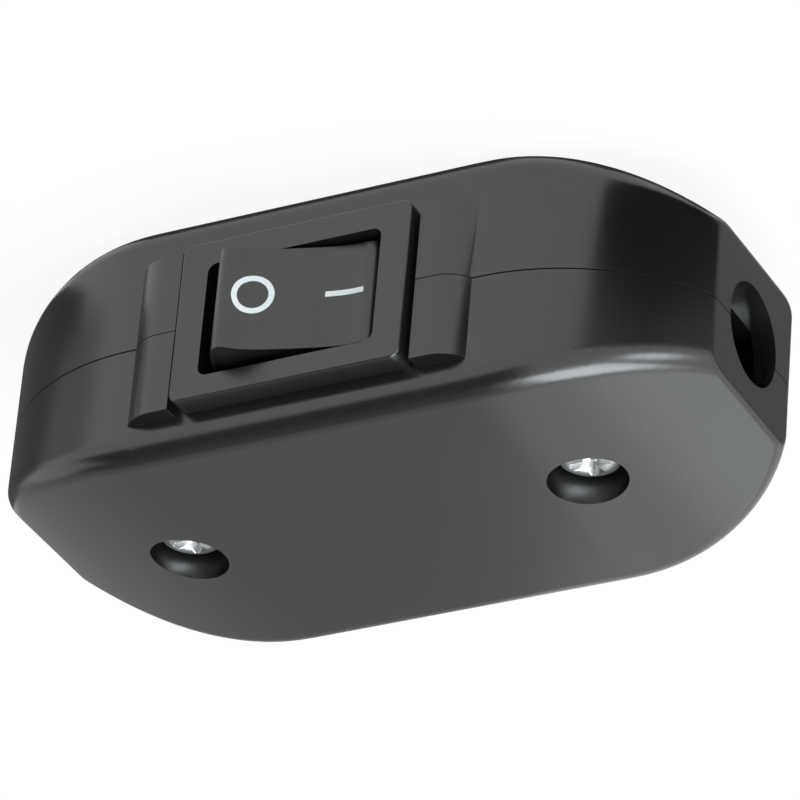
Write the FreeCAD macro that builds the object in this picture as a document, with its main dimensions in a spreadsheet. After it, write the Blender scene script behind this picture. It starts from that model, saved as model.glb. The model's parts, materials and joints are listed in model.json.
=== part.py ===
import FreeCAD, Part
import math
import os
import re
import Sketcher

# Inline cord switch: two moulded housing halves screwed together round a snap-in rocker switch.
# It rests on the base half's plain face. X runs along the cord, the rocker faces -Y, and the cover half
# with its two screw wells is on top. Lengths are in millimetres and angles in degrees.

SIZES = (
    # Housing outline, seen from above
    ("half_length", 32.5, "centre to the flat end face"),
    ("half_width", 16.5, "centre to the long side wall"),
    ("end_half", 7.12, "half width of the flat end faces"),
    ("corner_run", 16.5, "length of a corner arc along the housing"),
    # Housing profile, seen from the side
    ("base_height", 12.2, "base half, rest face to parting plane"),
    ("cover_height", 10.5, "cover half, parting plane to flat face"),
    ("fall_run", 18.2, "length over which the flat faces fall towards an end"),
    ("fall_drop", 4.2, "how far they fall"),
    ("edge_radius", 2.2, "rounding of the long outer edges"),
    ("end_edge_radius", 0.8, "rounding of the end faces' edges"),
    ("wall", 2.0, "wall of both halves"),
    ("parting_chamfer", 0.12, "bevel along the parting line"),
    ("lip_height", 1.0, "locating lip above the parting plane"),
    ("lip_wall", 0.9, "thickness of the locating lip"),
    ("lip_clearance", 0.1, "room round the lip in the cover"),
    ("cord_radius", 4.4, "cord hole"),
    ("cord_rise", 0.65, "cord hole's axis off the parting plane, into the base half"),
    ("grip_radius", 3.9, "notch of the cord grip ribs"),
    ("grip_inset", 6.0, "end face to the middle of a cord grip rib"),
    ("grip_thickness", 1.6, "thickness of a cord grip rib"),
    ("grip_half_width", 7.5, "half width of a cord grip rib"),
    ("bar_thickness", 1.6, "cord bar behind the base half's end wall"),
    ("bar_height", 3.5, "parting plane to the cord bar"),
    ("guard_gap", 0.5, "bezel end to finger guard"),
    ("guard_width", 4.4, "finger guard, along the housing"),
    ("guard_rise", 1.4, "finger guard above the wall"),
    ("guard_flat", 1.6, "level part of the finger guard beside the bezel"),
    ("guard_split", 0.06, "half of the parting gap across a guard"),
    # Housing screws
    ("screw_half", 18.4, "centre to each housing screw"),
    ("well_radius", 3.35, "screw well in the cover"),
    ("post_wall", 1.1, "wall of the cover's screw post"),
    ("boss_radius", 3.4, "base half's screw boss"),
    ("head_depth", 1.7, "cover face to the top of the screw head"),
    ("head_radius", 2.9, "housing screw head"),
    ("head_height", 2.0, "housing screw head"),
    ("shank_radius", 1.45, "housing screw shank"),
    ("shank_clearance", 0.25, "shank hole in the cover, over the shank"),
    ("thread_clearance", 0.03, "pilot hole in the base, over the shank"),
    ("screw_length", 12.5, "housing screw under its head"),
    ("recess_reach", 1.7, "cross recess, centre to the end of a slot"),
    ("recess_half", 0.42, "cross recess, half width of a slot"),
    ("recess_depth", 1.2, "cross recess"),
    # Frame of the rocker switch
    ("bezel_length", 21.0, "bezel, along the housing"),
    ("bezel_height", 15.0, "bezel, across the parting line"),
    ("bezel_depth", 2.2, "bezel, proud of the wall"),
    ("bezel_corner", 0.9, "rounding of the bezel's corners"),
    ("bezel_edge", 0.2, "rounding of the bezel's front edge"),
    ("body_length", 18.8, "switch body, along the housing"),
    ("body_height", 12.8, "switch body, across the parting line"),
    ("body_depth", 14.0, "switch body behind the wall's face"),
    ("body_clearance", 0.15, "housing window round the switch body"),
    ("body_floor", 1.5, "switch body's back wall"),
    ("window_length", 15.9, "rocker window"),
    ("window_height", 10.0, "rocker window"),
    ("window_corner", 0.8, "rounding of the window's corners"),
    ("wing_length", 5.5, "snap wing, along its slope"),
    ("wing_rise", 0.9, "snap wing above the switch body"),
    ("wing_height", 6.0, "snap wing, across the parting line"),
    ("wing_gap", 0.3, "snap wing behind the housing wall"),
    # Rocker
    ("pivot_depth", 2.2, "bezel face to rocker pivot"),
    ("rocker_tilt", 16.5, "rocker's lean each way from the middle"),
    ("rocker_gap", 0.55, "rocker end to window"),
    ("rocker_side_gap", 0.2, "rocker side to window"),
    ("crest_angle", 27.5, "pivot to crest, above the level"),
    ("skirt_angle", 12.0, "pivot to skirt edge, below the level"),
    ("face_radius", 13.7, "hollow of the rocker's face"),
    ("crest_round", 1.1, "rounding of the crests"),
    ("rocker_wall", 1.25, "rocker's shell"),
    ("ceiling_rise", 0.1, "rocker's hollow above the pivot"),
    ("trunnion_radius", 1.2, "pivot stub"),
    ("trunnion_length", 0.9, "pivot stub beyond the rocker's side"),
    ("trunnion_clearance", 0.08, "pivot hole over the stub"),
    ("post_half_length", 2.1, "plunger post, half of its size along the housing"),
    ("post_half_width", 2.0, "plunger post, half of its size across the parting line"),
    ("post_reach", 4.6, "pivot to the end of the plunger post"),
    # Plunger and its spring
    ("plunger_radius", 1.1, "plunger"),
    ("plunger_clearance", 0.1, "plunger bore over the plunger"),
    ("plunger_reach", 7.3, "pivot to the plunger's tip"),
    ("plunger_length", 4.7, "plunger, end to tip"),
    ("spring_wire", 0.16, "radius of the spring's wire"),
    ("spring_radius", 0.8, "spring, axis to middle of the wire"),
    ("spring_pitch", 0.8, "spring, turn to turn"),
    ("spring_end_gap", 0.05, "spring end to its seats"),
    # Contact lever
    ("lever_gap", 0.15, "plunger tip to lever at the middle of the travel"),
    ("lever_angle", 10.0, "each arm's rise, and the lever's lean each way"),
    ("lever_thickness", 0.6, "contact lever"),
    ("lever_half_length", 6.2, "length of an arm"),
    ("lever_width", 3.6, "contact lever"),
    ("saddle_gap", 0.05, "lever to its saddle"),
    ("contact_offset", 5.0, "fulcrum to the contacts"),
    ("contact_radius", 1.15, "contact rivets"),
    ("contact_height", 0.5, "contact rivets"),
    ("contact_gap", 0.1, "between the contacts at rest"),
    ("stop_gap", 0.15, "lever to its stop when the switch is off"),
    ("stop_length", 1.6, "lever stop"),
    # Terminals
    ("strip_thickness", 0.8, "terminal strip"),
    ("strip_width", 4.8, "terminal strip"),
    ("slot_clearance", 0.05, "slot in the switch body over the strip"),
    ("pad_length", 3.2, "load terminal's contact pad"),
    ("tail_reach", 7.6, "terminal tail behind the switch body"),
    ("flange_start", 1.2, "switch body to the binding flange"),
    ("flange_length", 6.4, "binding flange beyond the strip"),
    ("binding_radius", 1.45, "binding screw shank"),
    ("binding_head_radius", 2.5, "binding screw head"),
    ("binding_head_height", 1.7, "binding screw head"),
    ("binding_length", 5.0, "binding screw under its head"),
    ("clamp_half", 2.7, "clamp plate, half of its side"),
    ("clamp_thickness", 0.8, "clamp plate"),
    # Room that a cut takes beyond the solid
    ("over", 1.0, "overrun of cuts"),
)

# Expressions that several pieces share, written with the sheet's names
STRAIGHT_HALF = "(half_length - corner_run)"
CORNER_DROP = "(half_width - end_half)"
CORNER_RADIUS = "((corner_run ^ 2 + %s ^ 2) / (2 * %s))" % (CORNER_DROP, CORNER_DROP)
FLAT_HALF = "(half_length - fall_run)"
FALL_RADIUS = "((fall_run ^ 2 + fall_drop ^ 2) / (2 * fall_drop))"
GRIP_X = "(half_length - grip_inset)"
PIVOT_Y = "(-half_width - bezel_depth + pivot_depth)"
ROCKER_RADIUS = "(window_length / 2 - rocker_gap)"
ROCKER_HALF = "(window_height / 2 - rocker_side_gap)"
FLOOR_Y = "(-half_width + body_depth)"
VALLEY = "(lever_thickness / cos(lever_angle * 1 deg))"
FULCRUM_Y = "(%s + plunger_reach + lever_gap + %s)" % (PIVOT_Y, VALLEY)
FIXED_Y = "(%s + contact_height + contact_gap)" % FULCRUM_Y
PAD_Y = "(%s + contact_height)" % FIXED_Y
LOAD_X = "(contact_offset + contact_radius)"
TAIL_Y = "(%s + tail_reach)" % FLOOR_Y
FLANGE_Y = "(%s + flange_start)" % FLOOR_Y
BINDING_Y = "((%s + %s) / 2)" % (FLANGE_Y, TAIL_Y)
COMMON_BINDING_X = "(-strip_thickness / 2 - flange_length / 2)"
LOAD_BINDING_X = "(%s + strip_thickness + flange_length / 2)" % LOAD_X
FLANGE_TOP = "(-strip_width / 2 + strip_thickness)"
SCREW_SEAT = "(%s - head_depth - head_height)"

NAMES = {alias for alias, _, _ in SIZES}

document = FreeCAD.newDocument("inline_cord_switch")
sheet = document.addObject("Spreadsheet::Sheet", "sizes")
for row, (alias, value, note) in enumerate(SIZES, start=1):
    sheet.set("A%d" % row, note)
    sheet.set("B%d" % row, str(value))
    sheet.setAlias("B%d" % row, alias)
probe = document.addObject("App::FeaturePython", "probe")
probe.addProperty("App::PropertyFloat", "Reading")
document.recompute()


def cells(text):
    """Write an expression with each size's name tied to its cell."""
    return re.sub(r"[a-z_]+", lambda m: "sizes." + m.group() if m.group() in NAMES else m.group(), text)


def number(text):
    """Read what an expression comes to."""
    probe.setExpression("Reading", cells(text))
    probe.recompute()
    return probe.Reading


def new_body(label, x="0", y="0", z="0", axis=(0, 0, 1), angle="0"):
    """Start a body whose placement follows the sheet."""
    body = document.addObject("PartDesign::Body", label)
    body.Label = label
    place(body, x, y, z, axis, angle)
    return body


def place(item, x, y, z, axis=(0, 0, 1), angle="0"):
    """Tie an object's placement to the sheet."""
    turn = FreeCAD.Rotation(FreeCAD.Vector(*axis), number(angle))
    item.Placement = FreeCAD.Placement(FreeCAD.Vector(), turn)
    for name, text in (("x", x), ("y", y), ("z", z)):
        item.setExpression("Placement.Base." + name, cells(text))
    if number(angle):
        item.setExpression("Placement.Rotation.Angle", cells("(%s) * 1 deg" % angle))


def plane(body, role):
    """Find one of a body's own origin planes."""
    return next(item for item in body.Origin.OriginFeatures if item.Role == role)


def new_sketch(body, name, role, offset="0"):
    """Start a sketch on one of the body's origin planes, moved along the plane's normal."""
    sketch = body.newObject("Sketcher::SketchObject", name)
    sketch.AttachmentSupport = [(plane(body, role), "")]
    sketch.MapMode = "FlatFace"
    sketch.setExpression("AttachmentOffset.Base.z", cells(offset))
    return sketch


def tie(sketch, kind, where, text, sign=1):
    """Add a dimension that follows an expression."""
    index = sketch.addConstraint(Sketcher.Constraint(kind, *where, sign * number(text)))
    sketch.setExpression("Constraints[%d]" % index, cells("%d * (%s)" % (sign, text)))


def tie_point(sketch, edge, end, x, y):
    """Tie a point's two coordinates to the sheet."""
    for kind, text, axis in (("DistanceX", x, -2), ("DistanceY", y, -1)):
        value = number(text)
        if abs(value) < 1e-9:
            sketch.addConstraint(Sketcher.Constraint("PointOnObject", edge, end, axis))
        elif value > 0:
            tie(sketch, kind, (-1, 1, edge, end), text)
        else:
            tie(sketch, kind, (edge, end, -1, 1), text, -1)


def add_arc(sketch, start, end, radius, side):
    """Add the shorter arc between two points, with its centre to the left or the right of the way."""
    chord = end - start
    turn = 1 if side == "left" else -1
    height = math.sqrt(max(radius ** 2 - (chord.Length / 2) ** 2, 0))
    centre = (start + end) / 2 + FreeCAD.Vector(-chord.y, chord.x, 0).normalize() * height * turn
    first, last = (start, end) if side == "left" else (end, start)
    angles = [math.atan2(point.y - centre.y, point.x - centre.x) for point in (first, last)]
    circle = Part.Circle(centre, FreeCAD.Vector(0, 0, 1), radius)
    edge = sketch.addGeometry(Part.ArcOfCircle(circle, angles[0], angles[1]), False)
    return (edge, 1, 2) if side == "left" else (edge, 2, 1)


def outline(sketch, corners):
    """Draw a closed outline of straight edges and arcs.

    A corner is (x, y), or (x, y, radius, side) where the edge that leaves it is an arc.
    """
    points = [FreeCAD.Vector(number(corner[0]), number(corner[1]), 0) for corner in corners]
    edges = []
    for index, corner in enumerate(corners):
        start, end = points[index], points[(index + 1) % len(points)]
        if len(corner) == 2:
            edges.append((sketch.addGeometry(Part.LineSegment(start, end), False), 1, 2))
        else:
            edges.append(add_arc(sketch, start, end, number(corner[2]), corner[3]))
    for index, corner in enumerate(corners):
        edge, first, _ = edges[index]
        before, _, last = edges[index - 1]
        sketch.addConstraint(Sketcher.Constraint("Coincident", before, last, edge, first))
        tie_point(sketch, edge, first, corner[0], corner[1])
        if len(corner) == 4:
            tie(sketch, "Radius", (edge,), corner[2])


def rectangle(sketch, left, right, low, high):
    """Draw a rectangle between two pairs of expressions."""
    outline(sketch, [(left, low), (right, low), (right, high), (left, high)])


def disc(sketch, radius, x="0", y="0"):
    """Draw a circle."""
    centre = FreeCAD.Vector(number(x), number(y), 0)
    edge = sketch.addGeometry(Part.Circle(centre, FreeCAD.Vector(0, 0, 1), number(radius)), False)
    tie_point(sketch, edge, 3, x, y)
    tie(sketch, "Radius", (edge,), radius)


def extrude(kind, sketch, length, both=False, back=False):
    """Pad or pocket a sketch, and make sure that it changed the solid."""
    body = sketch.getParentGeoFeatureGroup()
    before = body.Shape.Volume if body.Tip else 0
    feature = body.newObject("PartDesign::" + kind, sketch.Name + "_" + kind.lower())
    feature.Profile = sketch
    feature.Midplane = both
    feature.Reversed = back
    feature.setExpression("Length", cells(length))
    document.recompute()
    change = body.Shape.Volume - before
    if change * (1 if kind == "Pad" else -1) <= 0:
        raise RuntimeError("%s of %s changed the volume by %.3f" % (kind, sketch.Name, change))
    return feature


def pad(sketch, length, **options):
    """Add material along a sketch's normal."""
    return extrude("Pad", sketch, length, **options)


def pocket(sketch, length, **options):
    """Take material away from a sketch, against its normal."""
    return extrude("Pocket", sketch, length, **options)


def mirror(body, features):
    """Repeat features on the other side of the body's YZ plane."""
    copy = body.newObject("PartDesign::Mirrored", features[-1].Name + "_mirrored")
    copy.Originals = features
    copy.MirrorPlane = (plane(body, "YZ_Plane"), [""])
    body.Tip = copy
    document.recompute()
    return copy


def revolve(sketch):
    """Turn a sketch about its own vertical axis."""
    body = sketch.getParentGeoFeatureGroup()
    feature = body.newObject("PartDesign::Revolution", sketch.Name + "_turned")
    feature.Profile = sketch
    feature.ReferenceAxis = (sketch, ["V_Axis"])
    feature.Angle = 360
    document.recompute()
    return feature


def dress(kind, body, size, chosen):
    """Round or bevel the edges that a test picks out."""
    base = body.Tip
    names = ["Edge%d" % (i + 1) for i, edge in enumerate(base.Shape.Edges) if chosen(edge)]
    if not names:
        raise RuntimeError("no edge of %s was picked" % body.Label)
    feature = body.newObject("PartDesign::" + kind, body.Label + "_" + kind.lower())
    feature.Base = (base, names)
    feature.setExpression("Radius" if kind == "Fillet" else "Size", cells(size))
    document.recompute()
    return feature


def middle(edge):
    """The point half way along an edge."""
    return edge.valueAt((edge.FirstParameter + edge.LastParameter) / 2)


def ends(edge):
    """The two end points of an edge."""
    return edge.valueAt(edge.FirstParameter), edge.valueAt(edge.LastParameter)


def plan_corners(inset):
    """The housing's outline, moved inwards: long sides, corner arcs and flat ends."""
    radius = "(%s - %s)" % (CORNER_RADIUS, inset)
    side = "(half_width - %s)" % inset
    end = "(half_length - %s)" % inset
    flat = "(half_width - %s + sqrt(%s ^ 2 - (corner_run - %s) ^ 2))" % (CORNER_RADIUS, radius, inset)
    return [
        ("-" + STRAIGHT_HALF, "-" + side),
        (STRAIGHT_HALF, "-" + side, radius, "left"),
        (end, "-" + flat),
        (end, flat, radius, "left"),
        (STRAIGHT_HALF, side),
        ("-" + STRAIGHT_HALF, side, radius, "left"),
        ("-" + end, flat),
        ("-" + end, "-" + flat, radius, "left"),
    ]


def outer_height(height, x, inset="0"):
    """How far a half's outer face, or its cavity, stands from the parting plane on its falling end."""
    run = "(%s - %s)" % (x, FLAT_HALF)
    return "(%s - %s + sqrt((%s - %s) ^ 2 - %s ^ 2))" % (height, FALL_RADIUS, FALL_RADIUS, inset, run)


def plain_half(body, height, inset):
    """Make a half's outer form, or its cavity when moved inwards: the raised outline with falling ends."""
    label = body.Label
    plan = new_sketch(body, label + "_plan", "XY_Plane")
    outline(plan, plan_corners(inset))
    pad(plan, "%s - %s" % (height, inset))
    fall = new_sketch(body, label + "_fall", "XZ_Plane")
    far = "(half_length - %s + over)" % inset
    outline(fall, [
        (FLAT_HALF, "(%s - %s)" % (height, inset), "(%s - %s)" % (FALL_RADIUS, inset), "right"),
        (far, outer_height(height, far, inset)),
        (far, "(%s + over)" % height),
        (FLAT_HALF, "(%s + over)" % height),
    ])
    mirror(body, [pocket(fall, "2 * (half_width + over)", both=True)])


def half_shell(label, height, angle):
    """Make a half as a hollow shell with rounded long edges and a fine bevel at the parting line.

    The parting plane is the body's XY plane, and the shell stands up from it. angle turns it over about X.
    """
    body = new_body(label, z="base_height", axis=(1, 0, 0), angle=angle)
    plain_half(body, height, "0")

    def long_edge(edge):
        first, last = ends(edge)
        upright = abs(first.x - last.x) + abs(first.y - last.y) < 1e-4
        return min(first.z, last.z) > 1e-4 and not upright and abs(middle(edge).y) > 1e-4

    dress("Fillet", body, "edge_radius", long_edge)
    end_x = number("half_length")

    def end_edge(edge):
        box = edge.BoundBox
        return box.XLength < 1e-4 and abs(abs(box.Center.x) - end_x) < 1e-4 and box.ZMax > 1e-4

    dress("Fillet", body, "end_edge_radius", end_edge)
    core = new_body(label + "_core")
    plain_half(core, height, "wall")
    hollow = body.newObject("PartDesign::Boolean", label + "_hollow")
    hollow.Type = "Cut"
    hollow.setObjects([core])
    document.recompute()

    inner = number("half_length - wall / 2")
    side = number("half_width - wall / 2")

    def outer_rim(edge):
        box = edge.BoundBox
        outside = max(abs(box.XMin), abs(box.XMax)) > inner or max(abs(box.YMin), abs(box.YMax)) > side
        return max(abs(box.ZMin), abs(box.ZMax)) < 1e-4 and outside

    dress("Chamfer", body, "parting_chamfer", outer_rim)
    return body


def shared_openings(body, height, front):
    """Cut the cord holes and the switch window, and add the finger guards and the cord grips."""
    label = body.Label
    hole = new_sketch(body, label + "_cord", "YZ_Plane")
    disc(hole, "cord_radius", y="%d * cord_rise" % front)
    pocket(hole, "2 * (half_length + over)", both=True)

    window = new_sketch(body, label + "_window", "XZ_Plane")
    across, up = "(body_length / 2 + body_clearance)", "(body_height / 2 + body_clearance)"
    rectangle(window, "-" + across, across, "-" + up, up)
    pocket(window, "half_width + over", back=front < 0)

    guard = new_sketch(body, label + "_guard", "XY_Plane", "guard_split")
    near = "(bezel_length / 2 + guard_gap)"
    far = "(%s + guard_width)" % near
    root = "%d * (half_width - wall / 2)" % front
    radius = "(((guard_width - guard_flat) ^ 2 + guard_rise ^ 2) / (2 * guard_rise))"
    crest = "%d * (half_width + guard_rise)" % front
    outline(guard, [
        (near, root),
        (near, crest),
        ("(%s + guard_flat)" % near, crest, radius, "right" if front > 0 else "left"),
        (far, "%d * half_width" % front),
        (far, root),
    ])
    mirror(body, [pad(guard, "bezel_height / 2 - guard_split")])

    grip = new_sketch(body, label + "_grip", "YZ_Plane", GRIP_X)
    rectangle(grip, "-grip_half_width", "grip_half_width", "0", outer_height(height, GRIP_X) + " - wall / 2")
    mirror(body, [pad(grip, "grip_thickness", both=True)])
    notch = new_sketch(body, label + "_notch", "YZ_Plane")
    disc(notch, "grip_radius", y="%d * cord_rise" % front)
    pocket(notch, "2 * half_length", both=True)


def lip_ring(body, inset, depth, cut):
    """Add the locating lip, or cut its seat, along the inside of the wall at the parting plane."""
    ring = new_sketch(body, body.Label + "_lip", "XY_Plane")
    outline(ring, plan_corners(inset))
    outline(ring, plan_corners("wall"))
    if cut:
        pocket(ring, depth, back=True)
    else:
        pad(ring, depth, back=True)


def base_half():
    """The plain half: a locating lip and two screw bosses. It is turned over, so its rocker side is at +Y."""
    body = half_shell("base_half", "base_height", "180")
    lip_ring(body, "(wall - lip_wall)", "lip_height", False)
    shared_openings(body, "base_height", 1)
    bar_x = "(half_length - wall - bar_thickness / 2)"
    bar = new_sketch(body, "cord_bar", "YZ_Plane", bar_x)
    ceiling = outer_height("base_height", bar_x) + " - wall / 2"
    rectangle(bar, "-grip_half_width", "grip_half_width", "bar_height", ceiling)
    mirror(body, [pad(bar, "bar_thickness", both=True)])
    boss = new_sketch(body, "boss", "XY_Plane")
    disc(boss, "boss_radius", "screw_half")
    pilot = new_sketch(body, "pilot", "XY_Plane")
    disc(pilot, "shank_radius + thread_clearance", "screw_half")
    reach = "(screw_length - %s + over)" % (SCREW_SEAT % outer_height("cover_height", "screw_half"))
    solid = pad(boss, outer_height("base_height", "screw_half") + " - wall / 2")
    mirror(body, [solid, pocket(pilot, reach, back=True)])
    return body


def cover_half():
    """The half with the flat face: the lip's seat, and two screw posts with wells."""
    body = half_shell("cover_half", "cover_height", "0")
    lip_ring(body, "(wall - lip_wall - lip_clearance)", "(lip_height + lip_clearance)", True)
    shared_openings(body, "cover_height", -1)
    top = outer_height("cover_height", "screw_half")
    seat = SCREW_SEAT % top
    post = new_sketch(body, "post", "XY_Plane")
    disc(post, "well_radius + post_wall", "screw_half")
    hole = new_sketch(body, "shank_hole", "XY_Plane")
    disc(hole, "shank_radius + shank_clearance", "screw_half")
    well = new_sketch(body, "well", "XY_Plane", seat)
    disc(well, "well_radius", "screw_half")
    features = [pad(post, top + " - wall / 2"), pocket(hole, "cover_height", back=True)]
    mirror(body, features + [pocket(well, "cover_height", back=True)])
    return body


def cross_screw(name, x, y, z, head_radius, head_height, shank_radius, length):
    """A pan-head screw with a cross recess. Its origin is under the head, and its shank points down."""
    body = new_body(name, x, y, z)
    turned = new_sketch(body, name + "_profile", "XZ_Plane")
    outline(turned, [
        ("0", "-" + length),
        ("(%s / 2)" % shank_radius, "-" + length),
        (shank_radius, "(%s - %s)" % (shank_radius, length)),
        (shank_radius, "0"),
        (head_radius, "0"),
        (head_radius, "(%s / 2)" % head_height),
        ("(0.88 * %s)" % head_radius, "(0.83 * %s)" % head_height),
        ("(0.62 * %s)" % head_radius, head_height),
        ("0", head_height),
    ])
    revolve(turned)
    recess = new_sketch(body, name + "_recess", "XY_Plane", "%s - recess_depth" % head_height)
    arm, half = "recess_reach", "recess_half"
    outline(recess, [
        (arm, "-" + half), (arm, half), (half, half), (half, arm), ("-" + half, arm), ("-" + half, half),
        ("-" + arm, half), ("-" + arm, "-" + half), ("-" + half, "-" + half), ("-" + half, "-" + arm),
        (half, "-" + arm), (half, "-" + half),
    ])
    pocket(recess, "recess_depth + over", back=True)
    return body


def group(label, items):
    """Keep alike pieces together as one node of separate solids."""
    compound = document.addObject("Part::Compound", label)
    compound.Label = label
    compound.Links = items
    return compound


def housing_screws():
    """The two screws that hold the halves together."""
    seat = "(base_height + %s)" % (SCREW_SEAT % outer_height("cover_height", "screw_half"))
    sizes = ("head_radius", "head_height", "shank_radius", "screw_length")
    return group("housing_screws", [
        cross_screw("housing_screw_" + side, x, "0", seat, *sizes)
        for side, x in (("right", "screw_half"), ("left", "-screw_half"))
    ])


def switch_frame():
    """The rocker switch's one-piece moulding: bezel, open box, pivot holes, snap wings and lever stop."""
    body = new_body("switch_frame", z="base_height")
    front = "(half_width + bezel_depth)"
    bezel = new_sketch(body, "bezel", "XZ_Plane", "half_width")
    rectangle(bezel, "-bezel_length / 2", "bezel_length / 2", "-bezel_height / 2", "bezel_height / 2")
    pad(bezel, "bezel_depth")
    dress("Fillet", body, "bezel_corner", lambda edge: abs(ends(edge)[0].y - ends(edge)[1].y) > 1e-4)
    face_y = -number(front)
    dress("Fillet", body, "bezel_edge", lambda edge: edge.BoundBox.YMax < face_y + 1e-4)

    box = new_sketch(body, "box", "XZ_Plane", "half_width")
    rectangle(box, "-body_length / 2", "body_length / 2", "-body_height / 2", "body_height / 2")
    pad(box, "body_depth", back=True)

    wing = new_sketch(body, "wing", "XY_Plane")
    low = "(-half_width + wall + wing_gap)"
    outline(wing, [
        ("body_length / 2 - wing_rise", low),
        ("body_length / 2 + wing_rise", low),
        ("body_length / 2", low + " + wing_length"),
        ("body_length / 2 - wing_rise", low + " + wing_length"),
    ])
    mirror(body, [pad(wing, "wing_height", both=True)])

    cavity = new_sketch(body, "cavity", "XZ_Plane", front)
    wide, high, turn = "(window_length / 2)", "(window_height / 2)", "window_corner"
    flat, rise = "(window_length / 2 - window_corner)", "(window_height / 2 - window_corner)"
    outline(cavity, [
        ("-" + flat, "-" + high), (flat, "-" + high, turn, "left"),
        (wide, "-" + rise), (wide, rise, turn, "left"),
        (flat, high), ("-" + flat, high, turn, "left"),
        ("-" + wide, rise), ("-" + wide, "-" + rise, turn, "left"),
    ])
    pocket(cavity, "bezel_depth + body_depth - body_floor")

    pivot = new_sketch(body, "pivot", "XY_Plane")
    disc(pivot, "trunnion_radius + trunnion_clearance", "0", PIVOT_Y)
    pocket(pivot, "2 * (%s + trunnion_length + 2 * rocker_side_gap)" % ROCKER_HALF, both=True)

    stop = new_sketch(body, "stop", "XY_Plane")
    rectangle(stop, "-contact_offset - stop_length / 2", "-contact_offset + stop_length / 2",
              FULCRUM_Y + " + stop_gap", FLOOR_Y + " - body_floor / 2")
    pad(stop, "lever_width", both=True)

    slots = new_sketch(body, "slots", "XZ_Plane", "-" + FLOOR_Y)
    tall = "(strip_width / 2 + slot_clearance)"
    common, load = ("-strip_thickness / 2", "strip_thickness / 2"), (LOAD_X, LOAD_X + " + strip_thickness")
    for left, right in (common, load):
        rectangle(slots, left + " - slot_clearance", right + " + slot_clearance", "-" + tall, tall)
    pocket(slots, "body_floor + over", back=True)
    return body


def rocker():
    """The actuator: concave face between two crests, ends turned about the pivot, hollow, with a post."""
    body = new_body("rocker", y=PIVOT_Y, z="base_height", angle="-rocker_tilt")
    crest_x, crest_y = (ROCKER_RADIUS + " * %s(crest_angle * 1 deg)" % name for name in ("cos", "sin"))
    skirt_x, skirt_y = (ROCKER_RADIUS + " * %s(skirt_angle * 1 deg)" % name for name in ("cos", "sin"))
    side = new_sketch(body, "rocker_side", "XY_Plane")
    outline(side, [
        ("-" + crest_x, "-" + crest_y, "face_radius", "right"),
        (crest_x, "-" + crest_y, ROCKER_RADIUS, "left"),
        (skirt_x, skirt_y),
        ("-" + skirt_x, skirt_y, ROCKER_RADIUS, "left"),
    ])
    pad(side, "2 * " + ROCKER_HALF, both=True)
    crest = -number(crest_y)
    dress("Fillet", body, "crest_round", lambda edge: edge.BoundBox.YMax < crest + 1e-4)

    stub = new_sketch(body, "trunnion", "XY_Plane")
    disc(stub, "trunnion_radius")
    pad(stub, "2 * (%s + trunnion_length)" % ROCKER_HALF, both=True)

    hollow = new_sketch(body, "hollow", "XY_Plane")
    reach = "(%s - rocker_wall)" % skirt_x
    rectangle(hollow, "-" + reach, reach, "-ceiling_rise", skirt_y + " + over")
    pocket(hollow, "2 * (%s - rocker_wall)" % ROCKER_HALF, both=True)

    post = new_sketch(body, "plunger_post", "XY_Plane")
    rectangle(post, "-post_half_length", "post_half_length", "-2 * ceiling_rise", "post_reach")
    pad(post, "2 * post_half_width", both=True)
    bore = new_sketch(body, "plunger_bore", "XZ_Plane")
    disc(bore, "plunger_radius + plunger_clearance")
    pocket(bore, "post_reach + over")
    return body


def plunger():
    """The round-nosed pin that slides in the rocker's post."""
    body = new_body("plunger", y=PIVOT_Y, z="base_height", angle="-rocker_tilt")
    turned = new_sketch(body, "plunger_profile", "XY_Plane")
    outline(turned, [
        ("0", "plunger_reach - plunger_length"),
        ("plunger_radius", "plunger_reach - plunger_length"),
        ("plunger_radius", "plunger_reach - plunger_radius", "plunger_radius", "left"),
        ("0", "plunger_reach"),
    ])
    revolve(turned)
    return body


def plunger_spring():
    """The coil spring between the bore's end and the plunger."""
    body = new_body("plunger_spring", y=PIVOT_Y, z="base_height", angle="-rocker_tilt")
    wire = new_sketch(body, "spring_wire_section", "XY_Plane")
    outline(wire, [
        ("spring_radius + spring_wire * cos(%d deg)" % turn,
         "spring_end_gap + spring_wire * (1 + sin(%d deg))" % turn)
        for turn in range(0, 360, 60)
    ])
    coil = body.newObject("PartDesign::AdditiveHelix", "coil")
    coil.Profile = wire
    coil.ReferenceAxis = (wire, ["V_Axis"])
    coil.Mode = "pitch-height-angle"
    coil.setExpression("Pitch", cells("spring_pitch"))
    room = "plunger_reach - plunger_length - 2 * (spring_end_gap + spring_wire)"
    coil.setExpression("Height", cells(room))
    document.recompute()
    return body


def contact_lever():
    """The see-saw blade: two arms that rise from the fulcrum. At rest its +X arm is level."""
    body = new_body("contact_lever", y=FULCRUM_Y, z="base_height", angle="lever_angle")
    cosine, sine = "cos(lever_angle * 1 deg)", "sin(lever_angle * 1 deg)"
    tip_x, tip_y = "(lever_half_length * %s)" % cosine, "(lever_half_length * %s)" % sine
    top_x = "(%s - lever_thickness * %s)" % (tip_x, sine)
    top_y = "(%s + lever_thickness * %s)" % (tip_y, cosine)
    blade = new_sketch(body, "lever_side", "XY_Plane")
    outline(blade, [
        ("0", "0"), (tip_x, "-" + tip_y), (top_x, "-" + top_y), ("0", "-" + VALLEY),
        ("-" + top_x, "-" + top_y), ("-" + tip_x, "-" + tip_y),
    ])
    pad(blade, "lever_width", both=True)
    return body


def contact(label, y):
    """A contact rivet that stands along +Y from the given place."""
    rivet = document.addObject("Part::Cylinder", label)
    rivet.Label = label
    rivet.setExpression("Radius", cells("contact_radius"))
    rivet.setExpression("Height", cells("contact_height"))
    place(rivet, "contact_offset", y, "base_height", (1, 0, 0), "-90")
    return rivet


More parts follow.
